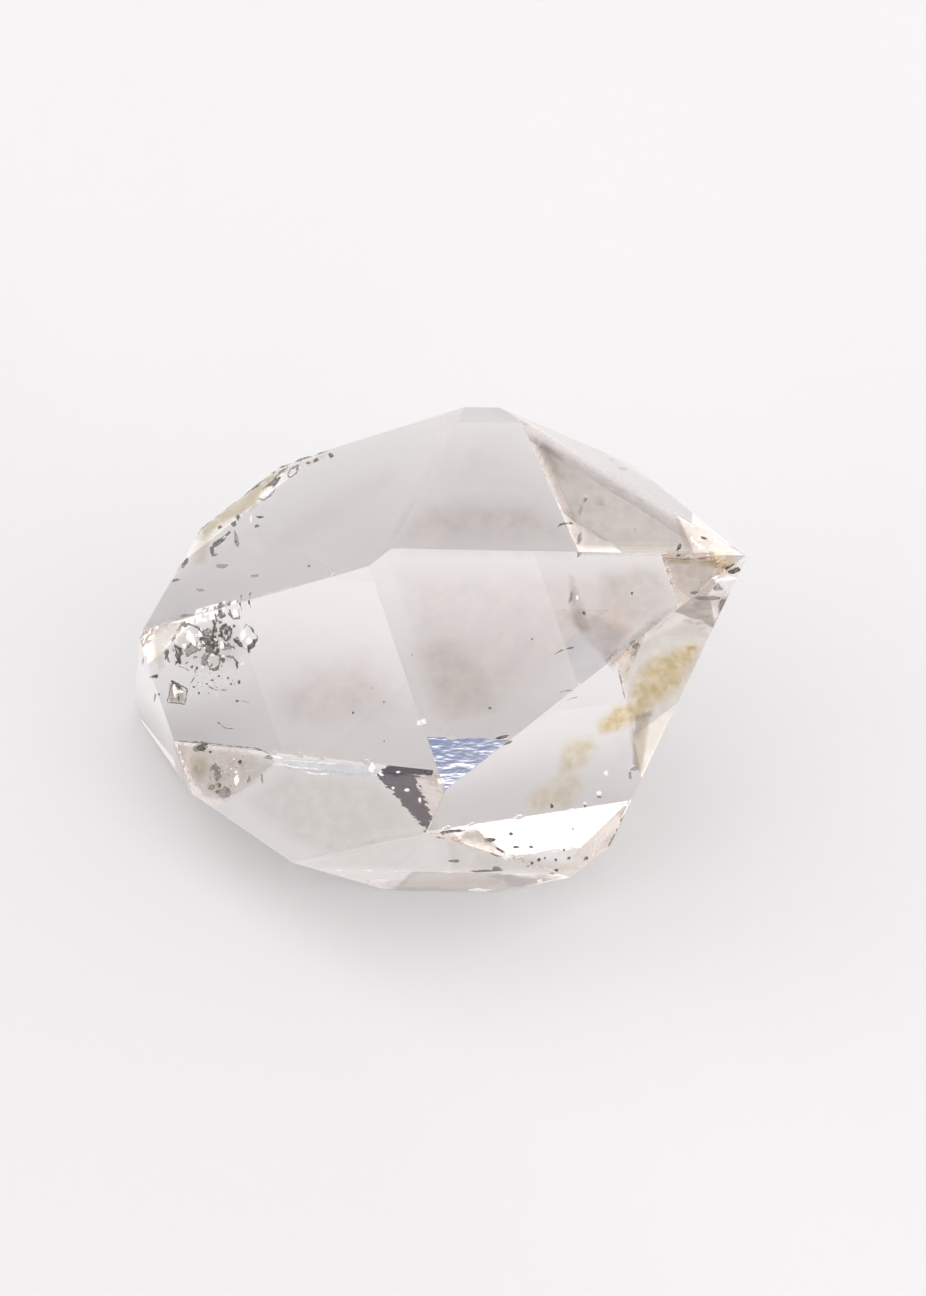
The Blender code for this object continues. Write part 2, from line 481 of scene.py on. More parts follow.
def streak(bm, points, width, depth=0.8, thick=0.03, seed=0, closed=False):
    """A thin ragged thread through the points, width in frame units."""
    rng = random.Random(seed)
    pts = [Vector(p[:2]) for p in points]
    if closed:
        pts = pts + [pts[0]]
    fine = []
    for a, b in zip(pts[:-1], pts[1:]):
        n = max(2, int((b - a).length / 1.5))
        for i in range(n):
            fine.append(a.lerp(b, i / n))
    fine.append(pts[-1])
    rings = []
    count = len(fine)
    for i, p in enumerate(fine):
        a = fine[max(0, i - 1)]
        b = fine[min(count - 1, i + 1)]
        d = (b - a).normalized() if (b - a).length > 1e-6 else Vector((1, 0))
        side = Vector((-d.y, d.x))
        t = i / (count - 1)
        taper = 1.0 if closed else min(1.0, 0.35 + 3.0 * min(t, 1.0 - t))
        gap = noise.noise(Vector((i * 0.23, seed * 5.1, 0.0)))
        w = width * 0.5 * taper * rng.uniform(0.5, 1.5) * max(0.12, min(1.6, 0.9 + 1.6 * gap))
        c = p + side * rng.uniform(-0.25, 0.25) * width
        z = rng.uniform(-0.3, 0.3) * thick
        ring = []
        for sx, sz in ((-1, 0), (0, -1), (1, 0), (0, 1)):
            q = c + side * sx * w
            ring.append(bm.verts.new(tuple(map(float, inside(
                q.x, q.y, depth=depth + z + sz * thick * 0.5)))))
        rings.append(ring)
    for ra, rb in zip(rings[:-1], rings[1:]):
        for k in range(4):
            bm.faces.new((ra[k], ra[(k + 1) % 4], rb[(k + 1) % 4], rb[k]))
    bm.faces.new(list(reversed(rings[0])))
    bm.faces.new(rings[-1])


def in_polygon(x, y, poly):
    hit = False
    for (x1, y1), (x2, y2) in zip(poly, poly[1:] + poly[:1]):
        if (y1 > y) != (y2 > y) and x < (x2 - x1) * (y - y1) / (y2 - y1) + x1:
            hit = not hit
    return hit


def border_distance(x, y, poly):
    best = 1e9
    p = Vector((x, y))
    for a, b in zip(poly, poly[1:] + poly[:1]):
        a, b = Vector(a), Vector(b)
        t = max(0.0, min(1.0, (p - a).dot(b - a) / (b - a).length_squared))
        best = min(best, (p - a.lerp(b, t)).length)
    return best


def film(name, mat, patches, step=3.0):
    """Thin sheets, stained or tinted with painted shade or a painted reflection: each patch is
    an outline in the frame, a depth in millimetres, how wide its edge fades and how strong it is."""
    verts, faces, fade, place = [], [], [], []
    for poly, depth, soft, strength in patches:
        xs = [p[0] for p in poly]
        ys = [p[1] for p in poly]
        x0, y0 = min(xs), min(ys)
        nx = int((max(xs) - x0) / step) + 2
        ny = int((max(ys) - y0) / step) + 2
        index = {}
        for j in range(ny):
            for i in range(nx):
                if not in_polygon(x0 + (i + .5) * step, y0 + (j + .5) * step, poly):
                    continue
                loop = []
                for di, dj in ((0, 0), (1, 0), (1, 1), (0, 1)):
                    key = (i + di, j + dj)
                    if key not in index:
                        x, y = x0 + key[0] * step, y0 + key[1] * step
                        d = border_distance(x, y, poly)
                        if not in_polygon(x, y, poly):
                            d = 0.0
                        wob = 0.05 * noise.noise(Vector((x * .05, y * .05, depth)))
                        index[key] = len(verts)
                        verts.append(tuple(map(float, inside(x, y, depth=depth + wob))))
                        fade.append(min(1.0, d / soft) * strength)
                        place.append((x * .1, y * .1, depth))
                    loop.append(index[key])
                faces.append(loop)
    mesh = bpy.data.meshes.new(name)
    mesh.from_pydata([tuple(c * MM for c in p) for p in verts], [], faces)
    a = mesh.attributes.new("fade", "FLOAT", "POINT")
    a.data.foreach_set("value", fade)
    a = mesh.attributes.new("place", "FLOAT_VECTOR", "POINT")
    a.data.foreach_set("vector", [c for p in place for c in p])
    mesh.materials.append(mat)
    mesh.update()
    ob = bpy.data.objects.new(name, mesh)
    bpy.context.scene.collection.objects.link(ob)
    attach(ob, "root")
    return ob


def film_material(name, colour, clear, scale, low, high, stretch=(1.0, 1.0, 1.0)):
    """A stain, or a tint of painted shade or painted reflection: clear tints what lies behind it, otherwise it covers
    it.
    """
    mat, nt = new_material(name)
    out = node(nt, "ShaderNodeOutputMaterial")
    open_part = node(nt, "ShaderNodeBsdfTransparent")
    if clear:
        stain = node(nt, "ShaderNodeBsdfTransparent")
        tone_in = stain.inputs["Color"]
    else:
        stain = node(nt, "ShaderNodeBsdfPrincipled")
        stain.inputs["Roughness"].default_value = 0.8
        stain.inputs["Specular IOR Level"].default_value = 0.0
        tone_in = stain.inputs["Base Color"]
    blend = node(nt, "ShaderNodeMixShader")
    nt.links.new(open_part.outputs[0], blend.inputs[1])
    nt.links.new(stain.outputs[0], blend.inputs[2])
    nt.links.new(blend.outputs[0], out.inputs["Surface"])
    fade = node(nt, "ShaderNodeAttribute", attribute_name="fade")
    place = node(nt, "ShaderNodeAttribute", attribute_name="place")
    shape = node(nt, "ShaderNodeMapping")
    shape.inputs["Scale"].default_value = stretch
    nt.links.new(place.outputs["Vector"], shape.inputs["Vector"])
    grain = node(nt, "ShaderNodeTexNoise")
    grain.inputs["Scale"].default_value = scale
    grain.inputs["Detail"].default_value = 4.0
    grain.inputs["Roughness"].default_value = 0.6
    nt.links.new(shape.outputs[0], grain.inputs["Vector"])
    mask = node(nt, "ShaderNodeMapRange")
    mask.inputs["From Min"].default_value = low
    mask.inputs["From Max"].default_value = high
    nt.links.new(grain.outputs["Fac"], mask.inputs["Value"])
    share = node(nt, "ShaderNodeMath", operation="MULTIPLY")
    nt.links.new(mask.outputs[0], share.inputs[0])
    nt.links.new(fade.outputs["Fac"], share.inputs[1])
    light = node(nt, "ShaderNodeLightPath")
    deep = node(nt, "ShaderNodeMath", operation="GREATER_THAN")
    nt.links.new(light.outputs["Ray Depth"], deep.inputs[0])
    deep.inputs[1].default_value = 1.5
    keep = node(nt, "ShaderNodeMapRange")
    keep.inputs["To Min"].default_value = 1.0
    keep.inputs["To Max"].default_value = 0.15
    nt.links.new(deep.outputs[0], keep.inputs["Value"])
    seen = node(nt, "ShaderNodeMath", operation="MULTIPLY")
    nt.links.new(share.outputs[0], seen.inputs[0])
    nt.links.new(keep.outputs[0], seen.inputs[1])
    nt.links.new(seen.outputs[0], blend.inputs[0])
    ramp = node(nt, "ShaderNodeValToRGB")
    ramp.color_ramp.elements[0].position = 0.35
    ramp.color_ramp.elements[0].color = tuple(min(1.0, c * 1.08) for c in colour) + (1.0,)
    ramp.color_ramp.elements[1].position = 0.70
    ramp.color_ramp.elements[1].color = tuple(c * 0.86 for c in colour) + (1.0,)
    nt.links.new(grain.outputs["Fac"], ramp.inputs["Fac"])
    nt.links.new(ramp.outputs["Color"], tone_in)
    return mat


def speck_material(name, dark, light, rough=0.5, painted_glow=0.0, solid=1.0):
    mat, nt = new_material(name)
    out = node(nt, "ShaderNodeOutputMaterial")
    bsdf = node(nt, "ShaderNodeBsdfPrincipled")
    nt.links.new(bsdf.outputs[0], out.inputs["Surface"])
    tex = node(nt, "ShaderNodeTexCoord")
    grain = node(nt, "ShaderNodeTexNoise")
    grain.inputs["Scale"].default_value = 9000.0
    grain.inputs["Detail"].default_value = 2.0
    nt.links.new(tex.outputs["Object"], grain.inputs["Vector"])
    ramp = node(nt, "ShaderNodeValToRGB")
    ramp.color_ramp.elements[0].position = 0.4
    ramp.color_ramp.elements[0].color = dark + (1.0,)
    ramp.color_ramp.elements[1].position = 0.65
    ramp.color_ramp.elements[1].color = light + (1.0,)
    nt.links.new(grain.outputs["Fac"], ramp.inputs["Fac"])
    nt.links.new(ramp.outputs["Color"], bsdf.inputs["Base Color"])
    bsdf.inputs["Roughness"].default_value = rough
    # painted glow: the emission makes the pale marks shine as painted glints, though they are no lamp
    if painted_glow:
        bsdf.inputs["Emission Color"].default_value = (1.0, 0.98, 0.96, 1.0)
        bsdf.inputs["Emission Strength"].default_value = painted_glow
    # the many mirrored images of a mark in the far facets are out of focus
    light = node(nt, "ShaderNodeLightPath")
    near = node(nt, "ShaderNodeMath", operation="LESS_THAN")
    nt.links.new(light.outputs["Ray Depth"], near.inputs[0])
    near.inputs[1].default_value = 1.5
    keep = node(nt, "ShaderNodeMapRange")
    keep.inputs["To Min"].default_value = 0.06
    keep.inputs["To Max"].default_value = solid
    nt.links.new(near.outputs[0], keep.inputs["Value"])
    nt.links.new(keep.outputs[0], bsdf.inputs["Alpha"])
    return mat


def sealed(name, bm, mat, smooth=True):
    bmesh.ops.recalc_face_normals(bm, faces=bm.faces[:])
    ob = make_object(name, bm, mat, smooth)
    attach(ob, "root")
    return ob


# u, v, half width, half height, angle, depth
DARK_LUMPS = (
    # left group
    (206, 643, 4.6, 3.6, 15, .55), (212, 647, 3.6, 3.8, 40, .60), (203, 640, 3.2, 2.4, 0, .55),
    (213, 638, 3.2, 3.2, 30, .60), (208, 650, 2.6, 2.6, 0, .60), (216, 643, 2.4, 3.4, 10, .60),
    (217, 652, 2.0, 3.8, -20, .55), (214, 622, 1.6, 3.4, 10, .60), (215, 630, 2.0, 3.6, -15, .60),
    (226, 632, 2.4, 2.8, 20, .60), (222, 628, 2.4, 2.0, 30, .6), (229, 637, 2.4, 1.8, 50, .6),
    (251, 646, 4.4, 2.4, 42, .60), (254, 641, 2.4, 1.6, 40, .60), (249, 651, 1.4, 2.0, 0, .60),
    (167, 654, 1.6, 5.4, -12, .50), (178, 657, 2.2, 6.6, 18, .50), (176, 647, 2.6, 1.4, -40, .50),
    (192, 667, 1.4, 1.6, 0, .55), (197, 668, 1.0, 1.8, 0, .6), (143, 661, 0.9, 3.4, -5, .4),
    (155, 697, 1.1, 4.0, -8, .5), (151, 677, 1.4, 1.1, 0, .5), (156, 677, 1.6, 1.4, 0, .5),
    (237, 701, 1.3, 1.2, 0, .7), (219, 723, 1.2, 1.2, 0, .8), (239, 682, 1.2, 2.0, 0, .7),
    (236, 641, 3.2, 1.8, -45, .6), (240, 645, 2.6, 1.5, -50, .6), (223, 660, 1.9, 2.6, 0, .55),
    (220, 622, 1.6, 1.6, 0, .6), (234, 626, 1.2, 1.4, 0, .6), (174, 683, 3.4, 1.5, -38, .5),
    (237, 664, 1.3, 3.4, 0, .6), (212, 680, 1.0, 1.2, 0, .6), (219, 676, 1.2, 1.0, 0, .6),
    (228, 678, .9, 1.3, 0, .6), (231, 684, 1.2, .9, 0, .6), (207, 684, 1.0, .8, 0, .6),
    (194, 687, 1.2, .9, 0, .6), (199, 693, .9, 1.3, 0, .6), (240, 604, .9, 1.4, 0, .6),
    (249, 602, .9, 2.2, 0, .6), (196, 657, 1.1, 1.0, 0, .6), (188, 655, 1.0, 1.4, 0, .6),
    # upper left fringe
    (212, 551, 1.6, 4.2, 8, .35), (219, 542, 7.0, 2.0, 38, .35), (214, 555, 2.8, 1.4, 0, .35),
    (234, 524, 2.8, 2.4, 30, .35), (238, 517, 1.8, 3.0, 0, .35), (257, 526, 2.2, 1.6, 10, .4),
    (260, 517, 3.4, 1.0, 0, .4), (276, 482, 6.5, 1.6, 48, .3), (220, 527, 2.0, 1.6, 40, .3),
    (331, 455, 2.4, 2.4, 0, .3), (163, 591, 4.0, 1.8, 60, .25), (186, 561, 4.0, 1.6, 62, .25),
    (308, 463, 2.2, 1.2, 20, .3), (316, 460, 2.6, 1.6, 30, .3), (228, 534, 3.0, 1.0, 40, .3),
    (176, 580, 3.6, 1.2, 15, .3), (236, 542, 1.0, 1.6, 0, .4), (309, 566, 1.2, 1.1, 0, .4),
    # lower left corner
    (201, 748, 4.6, 2.6, 8, .5), (205, 744, 4.0, 1.2, 5, .5), (240, 762, 1.8, 1.9, -30, .5),
    
    (210, 752, 1.4, 1.3, 0, .5), (219, 785, 2.0, 2.4, 0, .5), 
    
    # upper faces
    (585, 500, 2.0, 2.0, 0, .8), 
    (635, 530, 1.3, 1.0, 0, .6), (679, 547, 1.7, 3.6, -25, .5), (704, 538, 3.6, 1.2, -18, .4),
    (734, 571, 6.4, 2.8, 14, .35),
    
    (584, 613, 1.7, 1.9, 0, .9), (532, 639, .9, .9, 0, .8), (632, 593, .9, 1.4, 0, .8),
    
    # front faces
    (353, 713, 1.1, 1.2, 0, .8), (384, 702, .8, .8, 0, .8), (384, 741, .9, .9, 0, .6),
    (490, 708, 1.5, 1.2, 0, .7), (372, 688, .6, .6, 0, .8), (412, 655, .6, .7, 0, .8),
    (454, 861, 5.4, 1.3, -3, .5), (484, 871, 12.0, 1.3, 2, .5), (496, 869, 4.4, 2.4, 8, .5),
    (452, 831, 8.0, 1.4, 6, .6), (490, 840, 5.6, 1.9, 4, .6), (500, 850, 5.0, 1.2, -30, .6),
    (511, 834, 1.8, 1.6, 0, .5), (516, 847, 2.6, 1.2, 0, .5), (531, 847, 1.8, 1.2, 0, .5),
    (532, 863, 1.5, 1.2, 0, .5), (539, 860, 1.7, 1.7, 0, .5), (545, 858, 1.2, 1.0, 0, .5),
    (556, 860, 1.5, 1.4, 0, .5), (569, 858, 1.7, 1.5, 0, .5), (586, 858, 2.0, 1.7, 0, .5),
    (556, 870, 1.8, 1.5, 0, .5), (564, 850, 1.1, 1.0, 0, .5),
    (552, 806, 1.5, 2.0, 30, .7),
    (503, 737, 6.0, 1.3, 14, .6), (573, 829, .9, .9, 0, .5),
    (425, 772, 5.0, 1.0, -8, .25), (599, 797, 2.2, 1.0, 0, .4), (585, 806, 1.0, 1.4, 0, .4),
)
FAINT_LUMPS = (
    (580, 512, 1.6, 4.6, -12, 1.0), (580, 537, 2.2, 6.0, -10, 1.1), (622, 469, 4.4, 1.4, -10, .3),
    (612, 460, 2.4, 1.2, -25, .3), (718, 588, 4.4, 3.0, 0, .5), (723, 606, 3.4, 8.0, -22, .5),
    (708, 598, 12.0, 2.0, -4, .5), (636, 646, 3.2, 2.2, 10, .3), (571, 597, 1.4, 6.0, -12, .9),
    (634, 769, 4.6, 1.4, 2, .5), (630, 776, 1.5, 3.6, 0, .5), (270, 757, 5.0, 2.0, 0, .4),
    (212, 787, 3.4, 2.2, 20, .5), (262, 778, 1.4, 4.0, 0, .5), (249, 779, 1.4, 3.4, 0, .5),
    (217, 774, 4.0, 8.0, 8, .6), (214, 768, 4.4, 2.6, 0, .6), (224, 792, 6.4, 4.6, 20, .5),
    (200, 748, 6.0, 4.0, 8, .5),
    (226, 646, 5.0, 4.0, 0, .62), (191, 650, 6.0, 5.0, 20, .6), (208, 634, 5.0, 6.0, 0, .62),
    (204, 660, 3.0, 5.0, 0, .62), (236, 540, 2.0, 8.0, 10, .4), (222, 566, 6.0, 2.0, 0, .4),
    (254, 576, 4.0, 1.2, 10, .4), (200, 590, 4.0, 1.2, 0, .4),
)
# painted glints: pale marks that glow, white breaks standing in for facets inside the crystal and along its edges
# catching the light
GLINT_LUMPS = (
    (199, 616, 3.0, 3.6, 20, .50), (205, 620, 2.2, 2.6, 40, .50), (211, 611, 2.6, 2.4, 20, .50),
    (216, 612, 2.2, 2.6, -20, .50), (206, 614, 2.0, 1.6, 10, .5),
    (191, 638, 3.0, 7.0, 25, .50), (184, 646, 1.6, 3.0, 15, .50), (243, 635, 2.4, 5.0, -18, .55),
    (249, 641, 3.2, 2.8, 40, .55), (223, 612, 2.0, 3.0, 0, .55), (235, 613, 3.0, 4.0, 0, .55),
    (175, 690, 1.8, 5.4, 5, .48), (178, 692, 4.6, 1.8, 8, .48), (200, 634, 2.0, 3.0, 20, .45),
    (223, 656, 1.2, 1.2, 0, .50), (222, 645, 2.0, 3.6, 10, .5), (237, 780, 2.6, 4.6, 0, .4),
    (236, 772, 1.6, 1.4, 0, .4), (266, 493, 7.0, 1.9, 36, .25), (251, 519, .9, 5.0, 0, .3),
    (703, 545, 8.0, 5.5, 5, .35), (372, 768, 3.6, 3.8, 0, .20), (420, 723, 3.0, 2.6, 0, .5),
    (606, 773, 2.2, 2.2, 0, .4), (599, 793, 2.2, 2.0, 0, .4), (585, 803, 1.5, 1.3, 0, .4),
    (540, 881, 3.2, 1.9, 5, .2), (479, 890, 12.0, 1.5, -1, .2), (379, 881, 11.0, 1.6, 6, .2),
    (585, 496, 1.8, 1.0, 0, .7), (441, 781, 3.2, 2.6, 0, .3), (625, 804, 2.8, 2.2, 20, .3),
    (577, 598, 1.2, 2.2, 0, .8), (381, 774, 2.6, 1.4, -30, .22), (398, 772, 2.0, 1.0, 0, .22),
    (393, 788, 1.6, 1.4, 0, .22), (407, 790, 2.6, 1.2, 10, .22), (420, 800, 1.4, 2.2, 0, .22),
    (277, 757, 5.0, 1.2, -10, .25), (727, 579, 12.0, 1.6, 6, .3), (571, 810, 4.0, 1.6, 10, .3),
    (506, 857, 1.2, 3.4, 0, .3),
)
# points, width, depth, closed
# painted glints: bright threads standing in for sparkles and for a light line along a ridge
GLINT_LINES = (
    ([(279, 763), (292, 767), (306, 768), (322, 770)], 1.3, .22, False),
    ([(300, 771), (316, 774), (334, 774)], 1.0, .22, False),
    ([(284, 760), (310, 762), (340, 764)], .8, .22, False),
    ([(682, 521), (693, 541), (709, 553)], 2.0, .25, False),
)
DARK_LINES = (
    ([(221, 628), (226, 625), (231, 630), (231, 637), (226, 641), (221, 636)], 2.6, .60, True),
    ([(214, 617), (215, 624), (213, 632), (211, 640)], 2.2, .58, False),
    ([(174, 644), (179, 648), (181, 654), (179, 660), (175, 665)], 2.6, .50, False),
    ([(257, 638), (254, 644), (249, 651)], 2.6, .60, False),
    ([(236, 637), (240, 642), (243, 649)], 2.2, .60, False),
    ([(172, 681), (177, 685), (182, 689)], 2.0, .50, False),
    ([(212, 555), (211, 548), (216, 543), (224, 536), (229, 531)], 2.0, .34, False),
)
BROWN_LINES = (
    # left group
    ([(172, 642), (176, 632), (182, 625), (190, 624), (198, 628), (204, 634)], 2.8, .52, False),
    ([(166, 649), (166, 656), (170, 663)], 2.4, .50, False),
    ([(207, 656), (211, 652), (216, 652), (220, 656), (220, 664), (216, 670), (210, 669), (207, 663)], 2.4, .55, True),
    ([(226, 656), (233, 657), (237, 662), (237, 671)], 2.2, .58, False),
    ([(217, 624), (216, 616), (219, 609), (224, 606)], 2.4, .55, False),
    ([(230, 609), (230, 615), (234, 619), (239, 618), (239, 609)], 2.2, .55, False),
    ([(246, 624), (251, 628), (258, 638)], 2.0, .58, False),
    ([(249, 651), (243, 647), (239, 640)], 1.6, .58, False),
    ([(246, 624), (242, 632)], 1.6, .58, False),
    ([(173, 681), (187, 689), (185, 704), (167, 702)], 1.3, .50, True),
    ([(174, 682), (179, 689), (178, 702)], 1.6, .48, False),
    ([(222, 642), (228, 646), (235, 648)], 1.8, .58, False),
    ([(237, 701), (243, 701), (250, 703)], .6, .7, False),
    ([(219, 723), (225, 728), (235, 729)], .7, .8, False),
    ([(208, 686), (215, 690), (228, 690)], .7, .6, False),
    ([(196, 668), (194, 678), (190, 684)], 1.6, .5, False),
    ([(178, 666), (184, 668), (190, 671)], 1.2, .5, False),
    # dashes
    ([(557, 527), (562, 524), (569, 523), (575, 524)], 1.5, .9, False),
    ([(554, 655), (560, 651), (567, 649), (574, 647)], 1.5, .9, False),
    ([(560, 692), (566, 691), (572, 690)], 1.3, .9, False),
    ([(178, 741), (192, 742), (208, 743)], 1.4, .3, False),
    ([(208, 743), (230, 746), (255, 748), (268, 753), (279, 757)], 1.0, .3, False),
    ([(618, 669), (621, 680), (625, 700)], .9, .6, False),
    # along the outline
    ([(176, 571), (190, 545), (200, 529), (222, 512), (240, 499)], 1.6, .32, False),
    ([(240, 499), (262, 481), (280, 468), (302, 459), (330, 450)], 1.5, .32, False),
    ([(262, 489), (272, 483), (280, 473), (288, 467)], 2.0, .30, False),
    ([(258, 499), (264, 500), (272, 494), (276, 487)], 1.4, .30, False),
    ([(288, 476), (290, 469), (298, 465), (297, 472), (291, 477)], 1.8, .30, True),
    ([(182, 568), (186, 558), (188, 560), (184, 567)], 1.6, .28, True),
    ([(664, 558), (680, 559), (696, 559), (712, 557)], 1.0, .30, False),
    ([(434, 834), (450, 832), (465, 830)], 2.0, .5, False),
    ([(626, 812), (615, 835), (607, 849)], 2.2, .4, False),
)
LIMONITE = (
    ([(646, 655), (668, 646), (692, 638), (704, 645), (698, 664), (682, 692), (664, 706), (638, 712), (624, 700), (632, 674)], 1.1, 12.0, 1.0),
    ([(640, 698), (662, 704), (640, 722), (618, 734), (598, 738), (594, 722), (612, 704)], 1.2, 8.0, 1.0),
    ([(564, 736), (592, 732), (602, 746), (588, 770), (566, 786), (554, 778), (556, 750)], 1.3, 12.0, .66),
    ([(546, 776), (584, 768), (590, 790), (572, 812), (524, 818), (522, 798), (534, 784)], 1.3, 12.0, .50),
    ([(700, 550), (736, 553), (736, 566), (724, 577), (712, 570)], .4, 7.0, .75),
    ([(206, 781), (213, 779), (213, 790), (207, 790)], .45, 3.0, 1.0),
    ([(686, 646), (698, 645), (697, 650), (687, 651)], 1.0, 1.5, 1.0),
    ([(590, 490), (606, 494), (610, 505), (598, 508), (590, 502)], .6, 8.0, .35),
)
BROWN_FILM = (
    ([(530, 434), (544, 440), (556, 452), (562, 480), (576, 508), (582, 530), (588, 548), (578, 548), (564, 520), (550, 482), (538, 452)], .60, 3.5, .60),
    ([(530, 432), (548, 436), (566, 452), (566, 480), (556, 486), (544, 470)], .5, 8.0, .45),
    ([(576, 520), (600, 532), (624, 549), (584, 549)], .5, 4.0, .35),
    ([(568, 574), (574, 574), (584, 600), (592, 630), (582, 636), (572, 626), (568, 600)], .9, 6.0, .60),
    ([(664, 556), (700, 556), (724, 560), (722, 588), (700, 590), (676, 588), (668, 572)], .5, 10.0, .16),
    ([(690, 596), (724, 588), (733, 594), (722, 622), (712, 612), (692, 606)], .5, 8.0, .42),
    ([(632, 648), (650, 626), (676, 610), (684, 614), (662, 636), (640, 654)], .7, 9.0, .25),
    ([(168, 742), (250, 750), (284, 758), (262, 784), (238, 798), (214, 800), (188, 780), (174, 764)], .55, 10.0, .06),
    ([(236, 800), (284, 764), (380, 776), (420, 812), (436, 828), (330, 858), (290, 846), (256, 822)], .6, 14.0, .24),
    ([(168, 683), (173, 682), (187, 690), (185, 704), (168, 702)], .52, 2.0, .9),
    ([(346, 880), (440, 876), (500, 877), (506, 884), (470, 892), (394, 891)], .15, 5.0, .30),
    ([(180, 628), (216, 616), (240, 628), (244, 650), (240, 668), (216, 676), (190, 672), (170, 664), (166, 645)], .75, 10.0, .32),
    ([(465, 829), (479, 827), (486, 835), (496, 841), (506, 854), (484, 848), (452, 839)], .40, 4.0, .8),
    ([(626, 812), (622, 826), (608, 848), (590, 856), (600, 842), (616, 828)], .40, 4.0, .6),
    ([(280, 466), (300, 460), (330, 451), (326, 458), (300, 470), (286, 478)], .30, 4.0, .5),
)
BRUISE_FILM = (
    ([(716, 600), (732, 592), (726, 612), (717, 620)], .4, 4.0, .6),
    ([(201, 636), (214, 624), (222, 640), (217, 655), (203, 652)], .70, 6.0, .45),
    ([(712, 584), (724, 584), (722, 593), (712, 592)], .4, 4.0, .45),
    ([(222, 624), (232, 625), (232, 641), (222, 640)], .62, 3.0, .5),
)
# painted shade: clear films that darken the facets where the crystal's shaded floor and contact shadow show through,
# the dark band above the ridge among them
SHADE_FILM = (
    ([(418, 500), (470, 492), (540, 494), (572, 530), (578, 548), (394, 545)], 1.2, 22.0, .62),
    ([(430, 466), (458, 424), (516, 424), (550, 500), (420, 504)], 1.1, 34.0, .25),
    ([(386, 562), (648, 560), (640, 612), (592, 652), (552, 686), (506, 714), (448, 726), (428, 716), (404, 644)], 1.3, 28.0, .34),
    ([(406, 644), (440, 630), (486, 656), (502, 714), (448, 726), (429, 716)], 1.2, 18.0, .42),
    ([(300, 866), (380, 842), (446, 832), (500, 846), (590, 868), (556, 874), (440, 873)], .35, 4.0, .42),
    ([(444, 835), (500, 847), (588, 868), (556, 873), (450, 871)], .40, 6.0, .20),
    ([(262, 690), (300, 660), (368, 640), (394, 676), (408, 716), (340, 736), (276, 732)], 1.2, 30.0, .48),
    ([(256, 552), (290, 514), (350, 478), (398, 458), (400, 484), (350, 524), (300, 552)], 1.0, 24.0, .32),
    ([(594, 566), (662, 560), (688, 602), (654, 622), (626, 648), (612, 672), (584, 640)], .8, 16.0, .60),
    ([(557, 609), (616, 676), (628, 640), (640, 628), (600, 612)], .5, 6.0, .60),
    ([(672, 512), (706, 530), (736, 552), (684, 552)], .3, 3.0, .85),
    ([(634, 716), (653, 708), (642, 776), (632, 764)], .3, 2.0, .95),
    ([(640, 612), (700, 600), (716, 618), (700, 646), (650, 640)], .5, 10.0, .30),
)
PALE_VEIL = (
    ([(538, 442), (568, 452), (640, 494), (690, 526), (700, 551), (584, 550), (560, 498)], .55, 6.0, .52),
)
BEIGE_VEIL = (
    ([(664, 558), (716, 558), (716, 574), (706, 590), (688, 600), (674, 590)], .85, 5.0, .72),
    ([(172, 742), (262, 754), (280, 760), (252, 786), (226, 802), (204, 798), (188, 774)], .95, 4.0, .62),
    ([(464, 830), (478, 828), (486, 836), (500, 848), (484, 846), (460, 838)], .30, 3.0, .55),
)
GREY_FILM = (
    ([(444, 835), (500, 847), (588, 868), (556, 873), (450, 871)], .45, 6.0, .38),
    ([(634, 716), (653, 708), (642, 776), (632, 764)], .5, 2.0, .75),
    ([(620, 664), (640, 642), (666, 628), (700, 612), (722, 618), (702, 664), (660, 742), (644, 772), (632, 766), (628, 716)], .9, 3.0, .80),
    ([(190, 540), (214, 517), (240, 498), (266, 476), (282, 467), (280, 480), (262, 494), (238, 520), (206, 542)], .28, 2.0, .8),
)
# painted reflection: a clear pale blue tint on the narrow strip low at the left, standing in for the bluish light that
# strip picks up
BLUE_LIGHT_FILM = (
    ([(272, 756), (345, 762), (398, 771), (398, 779), (345, 776), (288, 770)], .26, 2.0, .60),
)
OLIVE_FILM = (
    ([(664, 556), (700, 556), (720, 558), (716, 568), (684, 566), (666, 564)], .30, 4.0, .9),
    ([(198, 532), (214, 517), (240, 498), (266, 476), (282, 467), (278, 480), (262, 494), (256, 508), (238, 517), (222, 524), (206, 538)], .30, 2.5, .9),
    ([(190, 552), (202, 534), (214, 530), (212, 550), (208, 566), (192, 568)], .32, 8.0, .65),
    ([(186, 756), (206, 754), (212, 770), (204, 784), (190, 776)], .5, 6.0, .6),
    ([(586, 492), (604, 498), (608, 508), (596, 508)], .6, 8.0, .35),
)
CREAM_FILM = (
    ([(152, 624), (186, 617), (182, 634), (172, 642), (166, 650), (166, 668), (158, 674), (154, 660), (151, 640)], .35, 5.0, .60),
    ([(636, 668), (700, 640), (690, 690), (640, 760), (618, 770), (610, 740)], 1.6, 26.0, .15),
)
YELLOW_FILM = (
    ([(152, 648), (162, 646), (161, 664), (157, 672), (153, 664)], .40, 4.0, .5),
)


